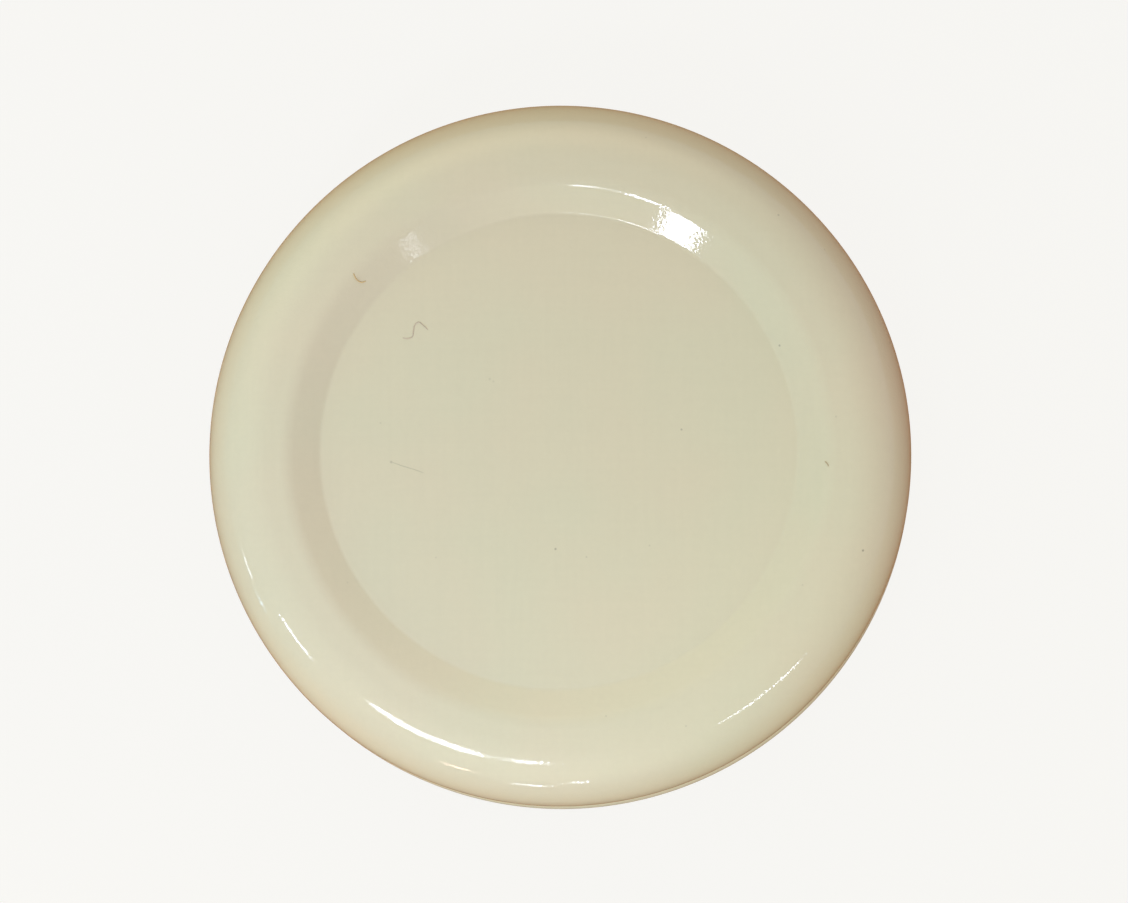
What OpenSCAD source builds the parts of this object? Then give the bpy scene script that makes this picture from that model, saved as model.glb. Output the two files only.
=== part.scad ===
// Twist off lid for a jar, lying with its open side down.
// The origin is at the centre of the foot of its curl, with +Z up.
// The sheet is drawn as one line of bends, from the middle of the panel to the curl's edge.

/* [Lid] */
// Outside diameter, measured over the curl
lid_d = 46; // [44:0.5:50]
// Height from the foot of the curl to the crown
lid_h = 10; // [9:0.5:12]
// Thickness of the tinned sheet
sheet_t = 0.2; // [0.16:0.02:0.24]

/* [Top] */
// Depth of the flat panel below the crown
panel_depth = 1.1; // [0.8:0.1:1.4]
// Width of the sloping step around the panel, seen from above
step_w = 2.05; // [1.8:0.05:2.4]
// Bend radius at the foot of the step
foot_bend_r = 0.55; // [0.35:0.05:0.8]
// Bend radius at the top of the step
crown_bend_r = 2; // [1:0.1:3]
// Width of the level crown between the step and the shoulder
crown_w = 1.3; // [1:0.1:2]
// Radius of the shoulder
shoulder_r = 4.1; // [3.2:0.1:4.6]

/* [Curl] */
// Outside diameter of the rolled edge
curl_d = 1.5; // [1.3:0.1:1.8]
// How far the curl stands out from the skirt
curl_proud = 0.3; // [0.2:0.05:0.4]
// Bend radius between the skirt and the curl
neck_bend_r = 0.5; // [0.4:0.1:0.8]
// Gap between the rolled edge and the inside of the skirt
curl_gap = 0.15; // [0.1:0.05:0.3]

/* [Lugs] */
// Number of lugs around the curl
lug_count = 4; // [3:1:6]
// Length of a lug where it leaves the curl
lug_len = 9; // [7:0.5:10]
// Length of a lug at its tip
lug_tip_len = 7; // [5:0.5:8]
// How far a lug reaches in from the curl
lug_reach = 1.1; // [0.8:0.1:1.4]
// Thickness of a lug, folded flat
lug_t = 0.8; // [0.6:0.1:0.9]
// Height of a lug's underside above the foot of the curl
lug_lift = 0.3; // [0.2:0.1:0.4]
// Angle of the first lug from +X
lug_start = 0; // [0:5:90]

/* [Sealing ring] */
// How far the level land lies above the underside of the panel
seal_set = 0.2; // [0.1:0.05:0.3]
// Width of the level land that the jar's lip presses on
land_w = 3.2; // [2.6:0.1:3.6]
// Thickness of the ring at both of its edges
seal_edge = 0.15; // [0.1:0.05:0.2]
// Where the ring ends on the shoulder, in degrees above level
seal_end = 35; // [30:1:50]
// Clearance between the ring and the sheet
seal_gap = 0.03; // [0.01:0.01:0.05]

/* [Hidden] */
$fn = 180;

// How far the straight lines of an arc may lie from the true curve
arc_tol = 0.004;

lid_r = lid_d / 2;
curl_r = curl_d / 2;
skirt_r = lid_r - curl_proud;
shoulder_x = skirt_r - shoulder_r;
step_top_r = shoulder_x - crown_w;
panel_r = step_top_r - step_w;
panel_z = lid_h - panel_depth;
step_slope = atan2(panel_depth, step_w);

// Where the skirt leans out to meet the curl
curl_x = lid_r - curl_r;
neck_run = curl_r + neck_bend_r - curl_proud;
neck_rise = sqrt(pow(curl_r + neck_bend_r, 2) - pow(neck_run, 2));
neck_angle = atan2(neck_rise, neck_run);
curl_end = acos((skirt_r - sheet_t - curl_gap - curl_x) / curl_r) - 360;

// Each bend is [centre, radius of the painted face, side, first angle, last angle].
// The side is 1 where the sheet lies outside that radius, and -1 where it lies inside.
foot_bend = [[panel_r - foot_bend_r * tan(step_slope / 2), panel_z + foot_bend_r],
    foot_bend_r, 1, 270, 270 + step_slope];
crown_bend = [[step_top_r + crown_bend_r * tan(step_slope / 2), lid_h - crown_bend_r],
    crown_bend_r, -1, 90 + step_slope, 90];
shoulder_bend = [[shoulder_x, lid_h - shoulder_r], shoulder_r, -1, 90, 0];
neck_bend = [[skirt_r + neck_bend_r, curl_r + neck_rise],
    neck_bend_r, 1, 180, 180 + neck_angle];
curl_bend = [[curl_x, curl_r], curl_r, -1, neck_angle, curl_end];
bends = [foot_bend, crown_bend, shoulder_bend, neck_bend, curl_bend];

// The sealing ring lies this deep below the painted face
seal_depth = sheet_t + seal_gap;
land_z = panel_z - sheet_t + seal_set;

// The lugs start from the curl's inner side
curl_in_r = lid_r - curl_d;
lug_in_r = curl_in_r - lug_reach;
lug_taper = (lug_len - lug_tip_len) / 2 / lug_reach;

function polar(centre, radius, angle) = centre + radius * [cos(angle), sin(angle)];

function arc(centre, radius, first, last, widest) =
    let (steps = ceil(abs(last - first) / (2 * acos(1 - arc_tol / widest))))
    [for (i = [0 : steps]) polar(centre, radius, first + (last - first) * i / steps)];

// A bend's line at some depth below the painted face
function bend_line(bend, depth) =
    arc(bend[0], bend[1] + bend[2] * depth, bend[3], bend[4], bend[1] + sheet_t);

function sheet_line(depth) = [for (bend = bends) each bend_line(bend, depth)];

function reversed(points) = [for (i = [len(points) - 1 : -1 : 0]) points[i]];

// Half of the sheet's section, from the axis to the curl's edge and back
module sheet_section() {
    polygon(concat(
        [[0, panel_z]],
        sheet_line(0),
        reversed(sheet_line(sheet_t)),
        [[0, panel_z - sheet_t]]));
}

// A flat tongue all round, with a rounded inner edge and its outer edge inside the curl
module lug_section() {
    nose = [lug_in_r + lug_t / 2, lug_lift + lug_t / 2];
    polygon(concat(
        arc(nose, lug_t / 2, 90, 270, lug_t / 2),
        [[curl_x, lug_lift], [curl_x, lug_lift + lug_t]]));
}

// One lug seen from above: it narrows towards its tip
module lug_outline() {
    tip_x = lug_in_r - lug_reach;
    tip_y = lug_tip_len / 2 - lug_taper * lug_reach;
    root_y = lug_len / 2 + lug_taper * curl_d;
    polygon([[tip_x, -tip_y], [lid_r, -root_y], [lid_r, root_y], [tip_x, tip_y]]);
}

module lugs() {
    intersection() {
        rotate_extrude() lug_section();
        linear_extrude(lug_lift + curl_d)
            for (i = [0 : lug_count - 1])
                rotate(lug_start + i * 360 / lug_count) lug_outline();
    }
}

// The ring fills the channel under the crown, and its surface curves up the shoulder
module seal_section() {
    slope_top = polar(crown_bend[0], crown_bend_r - seal_depth, 90 + step_slope);
    inner_z = land_z + seal_edge;
    inner_r = slope_top.x - (slope_top.y - inner_z) / tan(step_slope);
    wall_r = shoulder_r - seal_depth;
    outer = polar(shoulder_bend[0], wall_r - seal_edge, seal_end);
    land_end = inner_r + land_w;
    run = outer.x - land_end;
    drop = land_z - outer.y;
    curve_r = (run * run + drop * drop) / (2 * drop);
    curve_centre = [land_end, land_z - curve_r];
    polygon(concat(
        [[inner_r, land_z], [inner_r, inner_z]],
        bend_line(crown_bend, seal_depth),
        arc(shoulder_bend[0], wall_r, 90, seal_end, wall_r),
        arc(curve_centre, curve_r, atan2(outer.y - curve_centre.y, run), 90, curve_r)));
}

module lid_shell() {
    color("#dcd6b9")
        union() {
            rotate_extrude() sheet_section();
            lugs();
        }
}

module sealing_ring() {
    color("#cfcabd") rotate_extrude() seal_section();
}

lid_shell();
sealing_ring();
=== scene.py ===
import math

import bpy
from mathutils import Matrix, Vector


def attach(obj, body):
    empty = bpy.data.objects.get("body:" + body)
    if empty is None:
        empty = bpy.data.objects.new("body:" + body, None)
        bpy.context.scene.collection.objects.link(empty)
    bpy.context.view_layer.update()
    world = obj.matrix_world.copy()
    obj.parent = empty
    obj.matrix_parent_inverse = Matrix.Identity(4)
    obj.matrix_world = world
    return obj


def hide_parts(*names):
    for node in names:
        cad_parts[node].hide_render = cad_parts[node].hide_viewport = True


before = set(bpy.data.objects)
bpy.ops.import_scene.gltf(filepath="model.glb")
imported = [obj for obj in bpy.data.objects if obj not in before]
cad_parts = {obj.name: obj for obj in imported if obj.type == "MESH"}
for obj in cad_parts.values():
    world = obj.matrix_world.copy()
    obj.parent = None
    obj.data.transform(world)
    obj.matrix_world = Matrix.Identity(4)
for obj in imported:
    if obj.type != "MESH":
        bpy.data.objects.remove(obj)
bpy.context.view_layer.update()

mm = 0.001  # sizes below are in millimetres, Blender's in metres

# The lid's sizes, the same as in its CAD source
lid = {
    "diameter": 46,
    "height": 10,
    "sheet": 0.2,
    "panelDepth": 1.1,
    "stepWidth": 2.05,
    "footBend": 0.55,
    "crownBend": 2,
    "crownWidth": 1.3,
    "shoulder": 4.1,
    "curl": 1.5,
    "curlProud": 0.3,
    "neckBend": 0.5,
    "curlGap": 0.15,
    "turns": 240,       # steps around the lid
    "bendStep": 4,      # degrees of bend per step of the section
    "curlStep": 9,      # and of the curl
    "panelRings": (0, 4, 8, 12),
    "longRun": 0.4,     # a straight run longer than this gets a point close to each end
    "runEnd": 0.03,     # and how close
}


def polar(centre, radius, angle):
    turn = math.radians(angle)
    return (centre[0] + radius * math.cos(turn), centre[1] + radius * math.sin(turn))


def derived():
    lidR = lid["diameter"] / 2
    curlR = lid["curl"] / 2
    skirtR = lidR - lid["curlProud"]
    shoulderX = skirtR - lid["shoulder"]
    stepTop = shoulderX - lid["crownWidth"]
    run = curlR + lid["neckBend"] - lid["curlProud"]
    rise = math.sqrt((curlR + lid["neckBend"]) ** 2 - run ** 2)
    curlX = lidR - curlR
    endX = skirtR - lid["sheet"] - lid["curlGap"] - curlX
    return {
        "lidR": lidR,
        "curlR": curlR,
        "curlX": curlX,
        "skirtR": skirtR,
        "shoulderX": shoulderX,
        "stepTop": stepTop,
        "panelR": stepTop - lid["stepWidth"],
        "panelZ": lid["height"] - lid["panelDepth"],
        "slope": math.degrees(math.atan2(lid["panelDepth"], lid["stepWidth"])),
        "neckZ": curlR + rise,
        "neckAngle": math.degrees(math.atan2(rise, run)),
        "curlEnd": math.degrees(math.acos(endX / curlR)) - 360,
    }


part = derived()


def topBends():
    # Each bend is centre, radius of the painted face, side of the sheet, first and last angle
    halfTan = math.tan(math.radians(part["slope"] / 2))
    foot = ((part["panelR"] - lid["footBend"] * halfTan, part["panelZ"] + lid["footBend"]),
            lid["footBend"], 1, 270, 270 + part["slope"])
    crown = ((part["stepTop"] + lid["crownBend"] * halfTan, lid["height"] - lid["crownBend"]),
             lid["crownBend"], -1, 90 + part["slope"], 90)
    shoulder = ((part["shoulderX"], lid["height"] - lid["shoulder"]), lid["shoulder"], -1, 90, 0)
    neck = ((part["skirtR"] + lid["neckBend"], part["neckZ"]),
            lid["neckBend"], 1, 180, 180 + part["neckAngle"])
    return foot, crown, shoulder, neck


def bendLine(bend, depth):
    centre, radius, side, first, last = bend
    finer = 1 + radius / 3  # a wide bend gets finer steps
    steps = max(3, round(abs(last - first) / lid["bendStep"] * finer))
    return [polar(centre, radius + side * depth, first + (last - first) * i / steps)
            for i in range(steps + 1)]


def curlLine(depth, first, last):
    steps = max(2, round(abs(last - first) / lid["curlStep"]))
    centre = (part["curlX"], part["curlR"])
    return [polar(centre, part["curlR"] - depth, first + (last - first) * i / steps)
            for i in range(steps + 1)]


def guarded(points):
    # A straight run gets a point close to each of its ends, which keeps the flats flat
    out = [points[0]]
    for before, after in zip(points, points[1:]):
        length = math.dist(before, after)
        if length > lid["longRun"]:
            close = lid["runEnd"] / length
            for share in (close, 1 - close):
                out.append((before[0] + (after[0] - before[0]) * share,
                            before[1] + (after[1] - before[1]) * share))
        out.append(after)
    return out


def alongPath(points, count):
    # The path again, as count equal steps
    lengths = [0]
    for before, after in zip(points, points[1:]):
        lengths.append(lengths[-1] + math.dist(before, after))
    out = []
    k = 0
    for i in range(count + 1):
        want = lengths[-1] * i / count
        while k < len(points) - 2 and lengths[k + 1] < want:
            k += 1
        share = (want - lengths[k]) / (lengths[k + 1] - lengths[k])
        out.append(tuple(a + (b - a) * share for a, b in zip(points[k], points[k + 1])))
    return out


lugs = {
    "count": 4,
    "length": 9,
    "tipLength": 7,
    "reach": 1.1,
    "thick": 0.8,
    "lift": 0.3,
    "start": 0,
    "underFold": -125,  # where a lug leaves the curl below, as an angle on the curl
    "overFold": -215,   # and where it comes back above
    "endSteps": 8,      # extra steps around at each end of a lug
    "closest": 0.12,    # degrees between two steps around, at the least
    "noseSteps": 12,
    "foldSteps": 20,    # steps over a tongue, or over the plain curl beside it
    "rounding": 0.4,    # how much a lug's ends are rounded into the curl
}


def tongueLine(depth, count):
    # The curl's inner side pressed out into a flat tongue
    centre = (part["curlX"], part["curlR"])
    radius = part["curlR"] - depth
    tipX = part["lidR"] - lid["curl"] - lugs["reach"]
    nose = (tipX + lugs["thick"] / 2, lugs["lift"] + lugs["thick"] / 2)
    rootX = part["lidR"] - lid["curl"] - depth / 2
    path = [polar(centre, radius, lugs["underFold"]), (rootX, lugs["lift"] + depth)]
    path += [polar(nose, lugs["thick"] / 2 - depth, 270 - 180 * i / lugs["noseSteps"])
             for i in range(lugs["noseSteps"] + 1)]
    path += [(rootX, lugs["lift"] + lugs["thick"] - depth), polar(centre, radius, lugs["overFold"])]
    return alongPath(path, count)


def roundLine(depth, count):
    centre = (part["curlX"], part["curlR"])
    span = lugs["overFold"] - lugs["underFold"]
    return [polar(centre, part["curlR"] - depth, lugs["underFold"] + span * i / count)
            for i in range(count + 1)]


def lugEnds():
    curlInner = part["lidR"] - lid["curl"]
    rootHalf = math.degrees(math.asin(lugs["length"] / 2 / curlInner))
    tipHalf = math.degrees(math.asin(lugs["tipLength"] / 2 / (curlInner - lugs["reach"])))
    return rootHalf, tipHalf


def lugShare(angle):
    # 1 over a lug, 0 between lugs, with the slanting ends of the tongue between
    pitch = 360 / lugs["count"]
    off = abs((angle - lugs["start"] + pitch / 2) % pitch - pitch / 2)
    rootHalf, tipHalf = lugEnds()
    share = (rootHalf - off) / (rootHalf - tipHalf)
    share = min(1, max(0, share))
    eased = share * share * (3 - 2 * share)
    return eased * lugs["rounding"] + share * (1 - lugs["rounding"])


def sheetLine(depth, share):
    # One face of the sheet, from the middle of the panel to the curl's edge
    points = [(r, part["panelZ"] - depth) for r in lid["panelRings"]]
    for bend in topBends():
        points += bendLine(bend, depth)
    points = guarded(points)
    points += curlLine(depth, part["neckAngle"], lugs["underFold"])[1:]
    plain = roundLine(depth, lugs["foldSteps"])
    pressed = tongueLine(depth, lugs["foldSteps"])
    points += [tuple(a + (b - a) * share for a, b in zip(p, q)) for p, q in zip(plain, pressed)][1:]
    points += curlLine(depth, lugs["overFold"], part["curlEnd"])[1:]
    return points


def stepsAround():
    angles = [360 * i / lid["turns"] for i in range(lid["turns"])]
    rootHalf, tipHalf = lugEnds()
    for k in range(lugs["count"]):
        middle = lugs["start"] + 360 * k / lugs["count"]
        for side in (-1, 1):
            for i in range(lugs["endSteps"] + 1):
                half = tipHalf + (rootHalf - tipHalf) * i / lugs["endSteps"]
                angles.append((middle + side * half) % 360)
    angles.sort()
    kept = [angles[0]]
    for angle in angles[1:]:
        if angle - kept[-1] > lugs["closest"]:
            kept.append(angle)
    return kept


def addObject(name, data):
    made = bpy.data.objects.new(name, data)
    bpy.context.scene.collection.objects.link(made)
    return made


def onAxis(point):
    return abs(point[0]) < 1e-9


def spinPoints(sections, angles):
    # A point on the axis becomes one vertex for all the sections
    verts, index = [], []
    for k, point in enumerate(sections[0]):
        if onAxis(point):
            index.append([len(verts)] * len(angles))
            verts.append((0, 0, point[1] * mm))
            continue
        row = []
        for section, angle in zip(sections, angles):
            r, z = section[k]
            turn = math.radians(angle)
            row.append(len(verts))
            verts.append((r * math.cos(turn) * mm, r * math.sin(turn) * mm, z * mm))
        index.append(row)
    return verts, index


def spinFaces(index, closed):
    faces = []
    for k in range(len(index) if closed else len(index) - 1):
        near, far = index[k], index[(k + 1) % len(index)]
        for j in range(len(near)):
            n = (j + 1) % len(near)
            corners = [near[j], far[j], far[n], near[n]]
            face = [c for i, c in enumerate(corners) if c not in corners[:i]]
            if len(face) > 2:
                faces.append(face)
    return faces


def markSharp(mesh, rows):
    sharp = set()
    for row in rows:
        for before, after in zip(row, row[1:] + row[:1]):
            sharp.add(tuple(sorted((before, after))))
    for edge in mesh.edges:
        if tuple(sorted(edge.vertices)) in sharp:
            edge.use_edge_sharp = True


def spin(name, sections, angles, sharp=()):
    # A mesh from one section at each angle around the axis
    verts, index = spinPoints(sections, angles)
    mesh = bpy.data.meshes.new(name)
    mesh.from_pydata(verts, [], spinFaces(index, closed=not onAxis(sections[0][0])))
    mesh.update()
    mesh.shade_smooth()
    markSharp(mesh, [index[k] for k in sharp])
    return addObject(name, mesh)


def makeShell():
    angles = stepsAround()
    sections = []
    made = {}
    for angle in angles:
        share = round(lugShare(angle), 4)
        if share not in made:
            made[share] = sheetLine(0, share) + sheetLine(lid["sheet"], share)[::-1]
        sections.append(made[share])
    half = len(sections[0]) // 2
    shell = spin("lidShell", sections, angles, sharp=(half - 1, half))
    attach(shell, "root")
    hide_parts("lid_shell")
    print("lid shell:", len(shell.data.vertices), "points")
    return shell


seal = {
    "set": 0.2,
    "landWidth": 3.2,
    "edge": 0.15,
    "end": 35,
    "gap": 0.03,
    "turns": 240,       # steps around the ring
    "arcSteps": 16,
}


def sealSection():
    foot, crown, shoulder, neck = topBends()
    depth = lid["sheet"] + seal["gap"]
    landZ = part["panelZ"] - lid["sheet"] + seal["set"]
    slopeTop = polar(crown[0], lid["crownBend"] - depth, 90 + part["slope"])
    innerZ = landZ + seal["edge"]
    innerR = slopeTop[0] - (slopeTop[1] - innerZ) / math.tan(math.radians(part["slope"]))
    wallR = lid["shoulder"] - depth
    outer = polar(shoulder[0], wallR - seal["edge"], seal["end"])
    landEnd = innerR + seal["landWidth"]
    run = outer[0] - landEnd
    drop = landZ - outer[1]
    curveR = (run * run + drop * drop) / (2 * drop)
    curveCentre = (landEnd, landZ - curveR)
    firstTurn = math.degrees(math.atan2(outer[1] - curveCentre[1], run))
    upper = bendLine(crown, depth)
    shares = [i / seal["arcSteps"] for i in range(seal["arcSteps"] + 1)]
    upper += [polar(shoulder[0], wallR, 90 + (seal["end"] - 90) * share) for share in shares]
    lower = [polar(curveCentre, curveR, firstTurn + (90 - firstTurn) * share) for share in shares]
    points = [(innerR, landZ), (innerR, innerZ)] + upper + lower
    corners = (0, 1, 1 + len(upper), 2 + len(upper))
    return points, corners


def makeSeal():
    points, corners = sealSection()
    angles = [360 * i / seal["turns"] for i in range(seal["turns"])]
    ring = spin("sealingRing", [points] * len(angles), angles, sharp=corners)
    ring.data.flip_normals()
    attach(ring, "root")
    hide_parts("sealing_ring")
    print("sealing ring:", len(ring.data.vertices), "points")
    return ring


# A socket, so that shader maths reads as plain expressions
class Wire:
    def __init__(self, tree, socket):
        self.tree = tree
        self.socket = socket

    def math(self, kind, other, swapped=False):
        pair = (other, self) if swapped else (self, other)
        return addNode(self.tree, "ShaderNodeMath", {"operation": kind}, {0: pair[0], 1: pair[1]})

    def __add__(self, other):
        return self.math("ADD", other)

    def __radd__(self, other):
        return self.math("ADD", other, True)

    def __sub__(self, other):
        return self.math("SUBTRACT", other)

    def __rsub__(self, other):
        return self.math("SUBTRACT", other, True)

    def __mul__(self, other):
        return self.math("MULTIPLY", other)

    def __rmul__(self, other):
        return self.math("MULTIPLY", other, True)

    def __pow__(self, other):
        return self.math("POWER", other)


def addNode(tree, kind, settings=None, values=None, out=0):
    node = tree.nodes.new(kind)
    for name, value in (settings or {}).items():
        setattr(node, name, value)
    for name, value in (values or {}).items():
        socket = node.inputs[name]
        if isinstance(value, Wire):
            tree.links.new(value.socket, socket)
        else:
            socket.default_value = value
    return Wire(tree, node.outputs[out])


def newMaterial(name):
    material = bpy.data.materials.new(name)
    material.use_nodes = True
    tree = material.node_tree
    tree.nodes.clear()
    return material, tree


def finishWith(tree, shader, kind="ShaderNodeOutputMaterial"):
    out = tree.nodes.new(kind)
    tree.links.new(shader.socket, out.inputs["Surface"])


def noise(tree, place, scale, detail=2.0, roughness=0.5):
    return addNode(tree, "ShaderNodeTexNoise", {"noise_dimensions": "3D"},
                   {"Vector": place, "Scale": scale, "Detail": detail, "Roughness": roughness})


def mixColour(tree, share, first, second):
    return addNode(tree, "ShaderNodeMix", {"data_type": "RGBA"},
                   {0: share, 6: first, 7: second}, out=2)


def scaled(tree, colour, share):
    return addNode(tree, "ShaderNodeVectorMath", {"operation": "SCALE"}, {0: colour, "Scale": share})


enamel = {
    "greenish": (0.663, 0.641, 0.461, 1),
    "rosy": (0.679, 0.635, 0.458, 1),
    "blotchSize": 9,      # millimetres, as the sizes below
    "blotchEdges": (0.35, 0.65),
    "grainSize": 0.35,
    "grainDepth": 0.03,
    "weavePitch": 0.35,
    "weaveLength": 6,
    "weaveDepth": 0.02,
    "roughness": 0.06,
    "peelSize": 0.2,
    "peelHeight": 0.0026,
}

# Specks in the dust: pixel across and down in the photograph, width in pixels, and depth
specks = {
    "speckRight": (779.5, 345.5, 3.2, 0.34),
    "speckLowRight": (863, 550.5, 3.4, 0.42),
    "speckMiddle": (681.5, 429.5, 3, 0.3),
    "speckLow": (555.5, 549, 3.2, 0.34),
    "speckPairFirst": (489.7, 379, 3.4, 0.1),
    "speckPairSecond": (493.5, 381.5, 3.2, 0.09),
    "speckByHair": (391.2, 462, 3.6, 0.2),
    "speckLeft": (380.5, 423, 2.6, 0.12),
    "speckLowLeft": (436, 557.5, 2.6, 0.1),
    "speckLowMiddle": (586.5, 557, 2.6, 0.16),
    "speckLowFar": (649.5, 545.5, 2.6, 0.12),
    "speckFoot": (606, 716, 2.8, 0.12),
    "speckStepRight": (802.5, 585, 2.8, 0.1),
    "speckFootRight": (686, 726, 2.8, 0.14),
    "speckBack": (646, 137.5, 2.6, 0.12),
    "speckBackRight": (778.5, 215, 3.2, 0.24),
    "speckRimRight": (836, 416.5, 2.8, 0.12),
    "speckRimBack": (824.5, 249.5, 2.8, 0.12),
    "speckFaint": (347.5, 582.5, 3, 0.08),
}
speckCore = 0.3  # share of a speck's radius that has its full depth


def weave(tree, place, stretch):
    # Long faint streaks along one way of the weave
    laid = addNode(tree, "ShaderNodeVectorMath", {"operation": "MULTIPLY"}, {0: place, 1: stretch})
    return noise(tree, laid, 1 / (enamel["weavePitch"] * mm), 1.0) - 0.5


def speckShare(tree, place):
    total = 0.0
    for across, down, wide, depth in specks.values():
        away = addNode(tree, "ShaderNodeVectorMath", {"operation": "DISTANCE"},
                       {0: place, 1: onLid(across, down) * mm}, out=1)
        edge = wide / 2 / camera["pixelsPerMm"] * mm
        mark = addNode(tree, "ShaderNodeMapRange", {"interpolation_type": "SMOOTHSTEP"},
                       {"Value": away, "From Min": edge * speckCore, "From Max": edge,
                        "To Min": depth, "To Max": 0.0})
        total = mark + total
    return total


def makeEnamel():
    material, tree = newMaterial("creamEnamel")
    place = addNode(tree, "ShaderNodeTexCoord", out="Object")
    broad = noise(tree, place, 1 / (enamel["blotchSize"] * mm), 1.5)
    low, high = enamel["blotchEdges"]
    share = addNode(tree, "ShaderNodeMapRange", None,
                    {"Value": broad, "From Min": low, "From Max": high})
    colour = mixColour(tree, share, enamel["greenish"], enamel["rosy"])
    thin = enamel["weavePitch"] / enamel["weaveLength"]
    streaks = weave(tree, place, (1, thin, 1)) + weave(tree, place, (thin, 1, 1))
    grain = noise(tree, place, 1 / (enamel["grainSize"] * mm), 2.0) - 0.5
    light = 1 + grain * enamel["grainDepth"] + streaks * enamel["weaveDepth"]
    colour = scaled(tree, colour, light - speckShare(tree, place))
    peel = noise(tree, place, 1 / (enamel["peelSize"] * mm), 1.0, 0.4)
    height = (peel - 0.5) * (enamel["peelHeight"] * 2)
    bump = addNode(tree, "ShaderNodeBump", None,
                   {"Strength": 1.0, "Distance": mm, "Height": height})
    shader = addNode(tree, "ShaderNodeBsdfPrincipled", None, {
        "Base Color": colour,
        "Roughness": enamel["roughness"],
        "Normal": bump,
    })
    finishWith(tree, shader)
    return material


compound = {
    "shaded": (0.70, 0.66, 0.57, 1),
    "pale": (0.75, 0.72, 0.64, 1),
    "grains": 1500.0,       # per metre
    "grainHeight": 0.004,   # millimetres
    "roughness": 0.42,
}


def makeSealFinish():
    material, tree = newMaterial("sealingCompound")
    place = addNode(tree, "ShaderNodeTexCoord", out="Object")
    grain = noise(tree, place, compound["grains"], 3.0)
    colour = mixColour(tree, grain, compound["shaded"], compound["pale"])
    bump = addNode(tree, "ShaderNodeBump", None,
                   {"Strength": 1.0, "Distance": mm, "Height": grain * compound["grainHeight"]})
    shader = addNode(tree, "ShaderNodeBsdfPrincipled", None, {
        "Base Color": colour,
        "Roughness": compound["roughness"],
        "Normal": bump,
    })
    finishWith(tree, shader)
    return material


# Lint on the lid: its way in pixels of the photograph, its width in millimetres, its colour
lint = {
    "tanFibre": {
        "way": ((353.4, 273.3), (355.4, 277.9), (358, 280.7), (361, 282.3), (363.6, 282),
                (365.8, 281)),
        "width": 0.08,
        "colour": (0.64, 0.48, 0.23, 1),
    },
    "rosyFibre": {
        "way": ((402.7, 337.5), (407.3, 338.7), (412.4, 336.5), (413.4, 330.4), (414.9, 324.8),
                (419, 322.2), (423.1, 325.3), (428, 329.9)),
        "width": 0.05,
        "colour": (0.56, 0.47, 0.37, 1),
    },
    "hair": {
        "way": ((391.2, 462), (400.4, 465.3), (413.7, 469.4), (423.9, 473)),
        "width": 0.022,
        "colour": (0.48, 0.48, 0.36, 1),
    },
    "crumbRight": {
        "way": ((824.7, 461.2), (827.2, 463.8), (828.5, 466.3)),
        "width": 0.07,
        "colour": (0.5, 0.41, 0.25, 1),
    },
    "crumbLow": {
        "way": ((844.8, 485.5), (845.6, 486.7), (847.1, 487.8)),
        "width": 0.07,
        "colour": (0.44, 0.39, 0.26, 1),
    },
}

threads = {
    "sides": 8,
    "steps": 6,         # between two points of a way
    "tip": 0.4,         # how thick a thread's end is, as a share of its middle
    "taper": 0.3,       # and how much of that it gains with each step
    "lift": 0.7,        # height of its middle above the face, as a share of its radius
    "roughness": 0.7,
}


def smoothWay(way):
    # A curve through all the points, with even steps between them
    out = []
    ends = [way[0]] + list(way) + [way[-1]]
    for before, start, end, after in zip(ends, ends[1:], ends[2:], ends[3:]):
        for i in range(threads["steps"]):
            t = i / threads["steps"]
            out.append(tuple(0.5 * (2 * b + (c - a) * t + (2 * a - 5 * b + 4 * c - d) * t ** 2
                             + (3 * b - a - 3 * c + d) * t ** 3)
                             for a, b, c, d in zip(before, start, end, after)))
    return out + [way[-1]]


def makeLintFinish(name, colour):
    material, tree = newMaterial(name)
    shader = addNode(tree, "ShaderNodeBsdfPrincipled", None,
                     {"Base Color": colour, "Roughness": threads["roughness"]})
    finishWith(tree, shader)
    return material


def threadRing(point, ahead, thin, radius):
    # The points of a thread's section, kept below the top of the lid
    side = ahead.cross(Vector((0, 0, 1))).normalized()
    up = side.cross(ahead)
    middle = point + up * thin * threads["lift"]
    middle.z = min(middle.z, lid["height"] - radius)
    turns = [2 * math.pi * i / threads["sides"] for i in range(threads["sides"])]
    return [(middle + (side * math.cos(turn) + up * math.sin(turn)) * thin) * mm for turn in turns]


def threadFaces(last):
    sides = threads["sides"]
    faces = []
    for k in range(last):
        for i in range(sides):
            n = (i + 1) % sides
            faces.append((k * sides + i, k * sides + n, (k + 1) * sides + n, (k + 1) * sides + i))
    faces.append(tuple(range(sides))[::-1])
    faces.append(tuple(last * sides + i for i in range(sides)))
    return faces


def makeLint(name, thread):
    points = [onLid(*pixel) for pixel in smoothWay(thread["way"])]
    radius = thread["width"] / 2
    last = len(points) - 1
    verts = []
    for k, point in enumerate(points):
        ahead = (points[min(k + 1, last)] - points[max(k - 1, 0)]).normalized()
        thin = radius * min(1, threads["tip"] + threads["taper"] * min(k, last - k))
        verts += threadRing(point, ahead, thin, radius)
    mesh = bpy.data.meshes.new(name)
    mesh.from_pydata(verts, [], threadFaces(last))
    mesh.shade_smooth()
    mesh.materials.append(makeLintFinish(name, thread["colour"]))
    piece = addObject(name, mesh)
    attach(piece, "root")
    return piece


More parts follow.
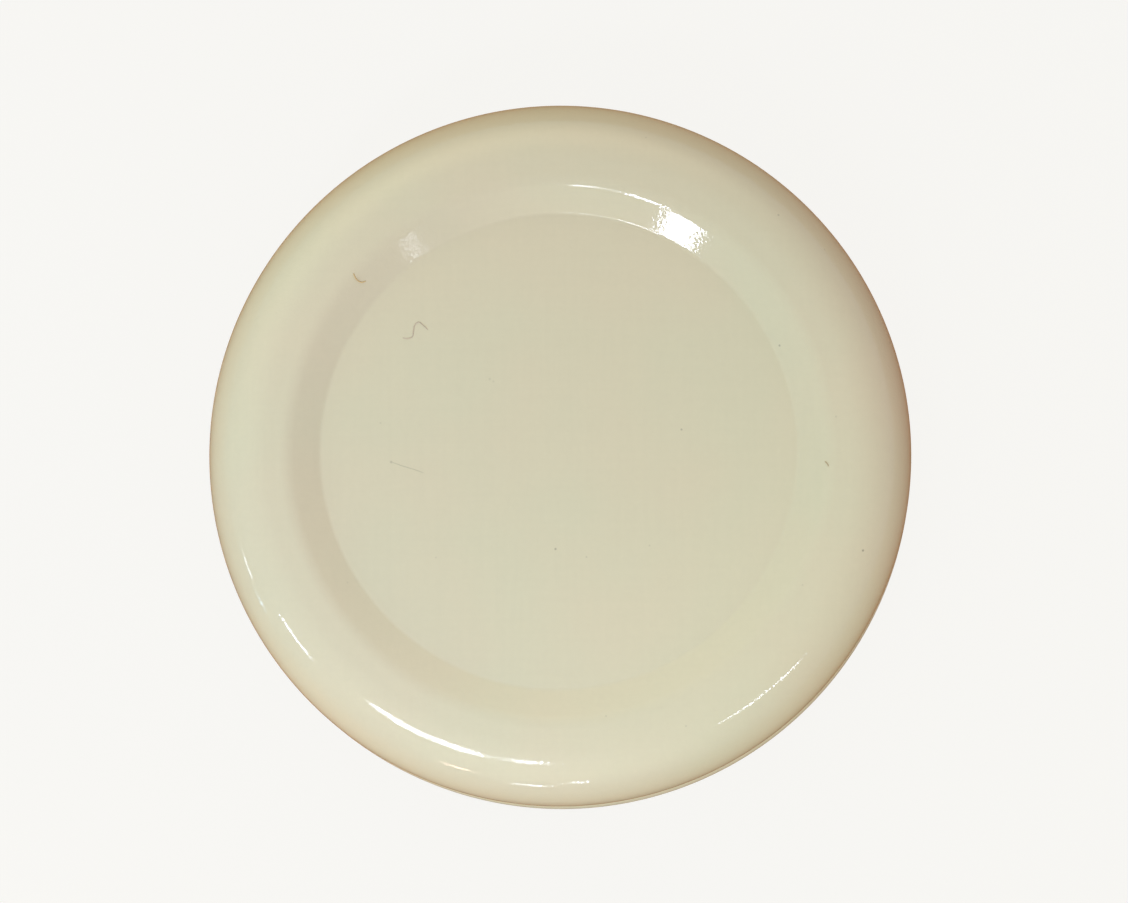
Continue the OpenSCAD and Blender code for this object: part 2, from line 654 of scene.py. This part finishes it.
# The camera looks down at the lid from a little in front
camera = {
    "distance": 240,
    "tiltFront": 4.05,
    "tiltRight": 1.45,
    "aim": (0.26, 0.234, 5),
    "pixelsPerMm": 15.395,
    "imageWidth": 1128,
    "imageHeight": 903,
    "sensor": 36,
    "clip": (0.005, 50),  # metres
}


def cameraFrame():
    back = Vector((math.sin(math.radians(camera["tiltRight"])),
                   -math.sin(math.radians(camera["tiltFront"])), 0))
    back.z = math.sqrt(1 - back.length_squared)
    right = Vector((0, 1, 0)).cross(back).normalized()
    up = back.cross(right)
    aim = Vector(camera["aim"])
    return aim + back * camera["distance"], right, up, back


def makeCamera():
    eye, right, up, back = cameraFrame()
    data = bpy.data.cameras.new("camera")
    data.sensor_width = camera["sensor"]
    focus = camera["pixelsPerMm"] * camera["distance"]
    data.lens = camera["sensor"] * focus / camera["imageWidth"]
    data.clip_start, data.clip_end = camera["clip"]
    view = addObject("camera", data)
    turn = Matrix((right, up, back)).transposed()
    view.matrix_world = Matrix.Translation(eye * mm) @ turn.to_4x4()
    bpy.context.scene.camera = view
    print("camera:", camera["distance"], "mm from the lid")


def topHeight(radius):
    # Height of the painted face at a radius, over the panel, step, crown and shoulder
    foot, crown, shoulder, neck = topBends()
    tan = math.tan(math.radians(part["slope"]))
    footStart = foot[0][0]
    footEnd = polar(foot[0], foot[1], foot[4])[0]
    crownStart = polar(crown[0], crown[1], crown[3])[0]
    if radius < footStart:
        return part["panelZ"]
    if radius < footEnd:
        return foot[0][1] - math.sqrt(foot[1] ** 2 - (radius - footStart) ** 2)
    if radius < crownStart:
        return part["panelZ"] + (radius - part["panelR"]) * tan
    if radius < crown[0][0]:
        return crown[0][1] + math.sqrt(crown[1] ** 2 - (radius - crown[0][0]) ** 2)
    if radius < part["shoulderX"]:
        return lid["height"]
    over = min(radius - part["shoulderX"], lid["shoulder"])
    return shoulder[0][1] + math.sqrt(lid["shoulder"] ** 2 - over ** 2)


def onLid(pixelX, pixelY):
    # The point of the painted face that the camera sees at a pixel of the photograph
    eye, right, up, back = cameraFrame()
    focus = camera["pixelsPerMm"] * camera["distance"]
    across = (pixelX - camera["imageWidth"] / 2) / focus
    upward = (camera["imageHeight"] / 2 - pixelY) / focus
    ray = right * across + up * upward - back
    z = part["panelZ"]
    for again in range(6):  # the height settles within a few rounds
        point = eye + ray * ((z - eye.z) / ray.z)
        z = topHeight(math.hypot(point.x, point.y))
    return Vector((point.x, point.y, z))


def toward(turn, fromTop):
    # A direction: turn as the camera sees it, clockwise from the right, and angle from above
    around = math.radians(-turn)
    down = math.radians(fromTop)
    return Vector((math.sin(down) * math.cos(around), math.sin(down) * math.sin(around),
                   math.cos(down)))


def addLamp(name, shape, width, tall, glow):
    # The glow is the lamp's own brightness, red, green and blue
    data = bpy.data.lights.new(name, "AREA")
    data.shape = shape
    data.size = width * mm
    area = width * mm * width * mm * math.pi / 4
    if shape == "RECTANGLE":
        data.size_y = tall * mm
        area = width * tall * mm * mm
    data.energy = max(glow) * math.pi * area
    data.color = [share / max(glow) for share in glow]
    lamp = addObject(name, data)
    lamp.visible_camera = False
    return lamp


# Panes of light that show in the gloss, each from its first end to its last. An end is its
# turn from the right, clockwise as the camera sees it, and its angle from straight above.
# Then come the pane's height in degrees, how bright it is and its distance.
panes = {
    "windowLeftPane": ((109, 40.6), (118.5, 41.8), 7.5, 24, 1500),
    "windowRightPane": ((95.5, 38.6), (101, 38.9), 6.2, 16, 1500),
    "lampNear": ((119.4, 46.2), (127.4, 48.4), 7.2, 24, 197),
    "windowBetween": ((101, 38.9), (109, 40.4), 6, 2.5, 1500),
    "lampClose": ((127.4, 50.4), (130.2, 50.9), 4.9, 22, 130),
    "slitRight": ((58.4, 48.9), (38.4, 56), 1.7, 16, 218),
    "slitFaint": ((51.6, 48.3), (54.8, 48), 2, 5.5, 1500),
    "doorLeft": ((153.2, 62.3), (145, 60.5), 3.2, 20, 1500),
    "lowLampRight": ((86.8, 78.1), (88.7, 78.2), 3.8, 20, 1500),
    "lowLampMiddle": ((93.6, 86), (99.1, 86.7), 2.6, 15, 1500),
    "lowLampPeach": ((108.1, 78.5), (112.7, 79.1), 3, (17, 11, 9), 1500),
    "lowLampLeft": ((156.9, 86.5), (157.9, 89), 2.6, (4, 6, 8.5), 1500),
    "lowLampFarLeft": ((161.9, 82.4), (165.2, 83.7), 2.6, 15, 1500),
}
paneTint = (0.94, 1, 1.18)  # for a pane whose brightness is one number


def makePane(name, first, last, tall, glow, far):
    start, end = toward(*first), toward(*last)
    out = (start + end).normalized()
    along = end - start
    along = (along - out * along.dot(out)).normalized()
    across = out.cross(along)
    width = 2 * far * math.tan(start.angle(end) / 2)
    height = 2 * far * math.tan(math.radians(tall) / 2)
    colour = glow if isinstance(glow, tuple) else tuple(glow * share for share in paneTint)
    lamp = addLamp(name, "RECTANGLE", width, height, colour)
    turn = Matrix((along, across, out)).transposed()
    lamp.matrix_world = Matrix.Translation((Vector((0, 0, lid["height"])) + out * far) * mm)
    lamp.matrix_world = lamp.matrix_world @ turn.to_4x4()


# Soft lamps close to the lid, seen as shade alone: turn, angle from above, distance, width
softLamps = {
    "lampFront": (95, 62, 36, 18, (0.98, 0.66, 0.98)),
    "lampFrontRight": (70, 60, 60, 30, (0.0, 1.08, 0.94)),
    "lampRight": (40, 65, 60, 30, (1.47, 1.18, 0.8)),
    "lampLeft": (150, 65, 60, 30, (0.0, 0.66, 1.6)),
    "lampBackLeft": (210, 62, 60, 25, (2.0, 1.68, 1.6)),
    "lampLowFront": (135, 84, 60, 25, (2.7, 2.1, 1.1)),
    "lampLowLeft": (192, 85, 60, 25, (1.0, 1.35, 1.45)),
}


def makeSoftLamp(name, turn, fromTop, distance, width, glow):
    out = toward(turn, fromTop)
    lamp = addLamp(name, "DISK", width, 0, glow)
    lamp.location = (Vector((0, 0, lid["height"])) + out * distance) * mm
    lamp.rotation_euler = out.to_track_quat("Z", "Y").to_euler()
    lamp.visible_glossy = False


# The light of the room from each side
skyLook = {
    "right": (0.424, 0.222, 0.255),
    "back": (0.249, 0.396, 0.459),
    "seen": (0.931, 0.923, 0.896),
}

# Broad glows of the room: turn, angle from above, sharpness, colour
glows = {
    "roomBack": (270, 56, 10, (1.2, 1.02, 0.67)),
    "roomBackLeft": (225, 56, 10, (0.79, 0.74, 0.42)),
    "roomFront": (90, 60, 10, (0.8, 0.86, 0.57)),
    "wallBackLeft": (240, 56, 30, (0.23, 0.25, 0.18)),
    "wallBack": (270, 56, 30, (0.25, 0.18, 0.16)),
    "wallBackRight": (300, 56, 30, (0.18, 0.3, 0.27)),
}


def skyTone(tree, direction):
    # The room's light from a direction: its two sides, and the glows on top
    x, y = [addNode(tree, "ShaderNodeSeparateXYZ", None, {0: direction}, out=k) for k in range(2)]
    lit = [scaled(tree, skyLook["right"], (1 + x) * 0.5), scaled(tree, skyLook["back"], (1 + y) * 0.5)]
    for turn, fromTop, sharpness, colour in glows.values():
        near = addNode(tree, "ShaderNodeVectorMath", {"operation": "DOT_PRODUCT"},
                       {0: direction, 1: toward(turn, fromTop)}, out=1)
        lit.append(scaled(tree, colour, near.math("MAXIMUM", 0.0) ** sharpness))
    total = lit[0]
    for more in lit[1:]:
        total = addNode(tree, "ShaderNodeVectorMath", {"operation": "ADD"}, {0: total, 1: more})
    return total


def makeSky():
    world = bpy.data.worlds.new("softRoom")
    bpy.context.scene.world = world
    world.use_nodes = True
    tree = world.node_tree
    tree.nodes.clear()
    direction = addNode(tree, "ShaderNodeTexCoord", out="Generated")
    light = addNode(tree, "ShaderNodeBackground", None,
                    {"Color": skyTone(tree, direction), "Strength": 1.0})
    seen = addNode(tree, "ShaderNodeBackground", None,
                   {"Color": skyLook["seen"] + (1,), "Strength": 1.0})
    isCamera = addNode(tree, "ShaderNodeLightPath", out="Is Camera Ray")
    both = addNode(tree, "ShaderNodeMixShader", None, {0: isCamera, 1: light, 2: seen})
    finishWith(tree, both, "ShaderNodeOutputWorld")


def makeLights():
    for name, pane in panes.items():
        makePane(name, *pane)
    for name, lamp in softLamps.items():
        makeSoftLamp(name, *lamp)
    makeSky()
    print("lights:", len(panes) + len(softLamps))


floorLook = {
    "size": 4000,
    "colour": (0.931, 0.923, 0.896),
    "shade": 0.04,       # share of the floor's tone that takes shadows
    "bounceColour": (0.52, 0.22, 0.05),
    "bounceDrop": 0.3,   # millimetres below the floor
}


def plane(name, size, z):
    half = size / 2 * mm
    mesh = bpy.data.meshes.new(name)
    mesh.from_pydata([(-half, -half, z * mm), (half, -half, z * mm), (half, half, z * mm),
                      (-half, half, z * mm)], [], [(0, 1, 2, 3)])
    piece = addObject(name, mesh)
    return piece


def makeFloor():
    floor = plane("paleFloor", floorLook["size"], 0)
    material, tree = newMaterial("paleFloor")
    shade = addNode(tree, "ShaderNodeBsdfDiffuse", None, {"Color": floorLook["colour"] + (1,)})
    glow = addNode(tree, "ShaderNodeEmission", None,
                   {"Color": floorLook["colour"] + (1,), "Strength": 1.0})
    both = addNode(tree, "ShaderNodeMixShader", None, {0: floorLook["shade"], 1: glow, 2: shade})
    finishWith(tree, both)
    floor.data.materials.append(material)
    floor.visible_diffuse = False
    floor.visible_glossy = False
    print("floor:", floorLook["size"], "mm wide")


def makeBounce():
    # A warm tone from below, which only the lid itself picks up
    bounce = plane("warmBounce", floorLook["size"], -floorLook["bounceDrop"])
    material, tree = newMaterial("warmBounce")
    shade = addNode(tree, "ShaderNodeBsdfDiffuse", None,
                    {"Color": floorLook["bounceColour"] + (1,)})
    finishWith(tree, shade)
    bounce.data.materials.append(material)
    bounce.visible_camera = False
    bounce.visible_shadow = False


bpy.context.scene.view_settings.view_transform = "Standard"
makeCamera()
shell = makeShell()
shell.data.materials.append(makeEnamel())
ring = makeSeal()
ring.data.materials.append(makeSealFinish())
for name, thread in lint.items():
    makeLint(name, thread)
print("lint:", len(lint))
makeBounce()
makeFloor()
makeLights()
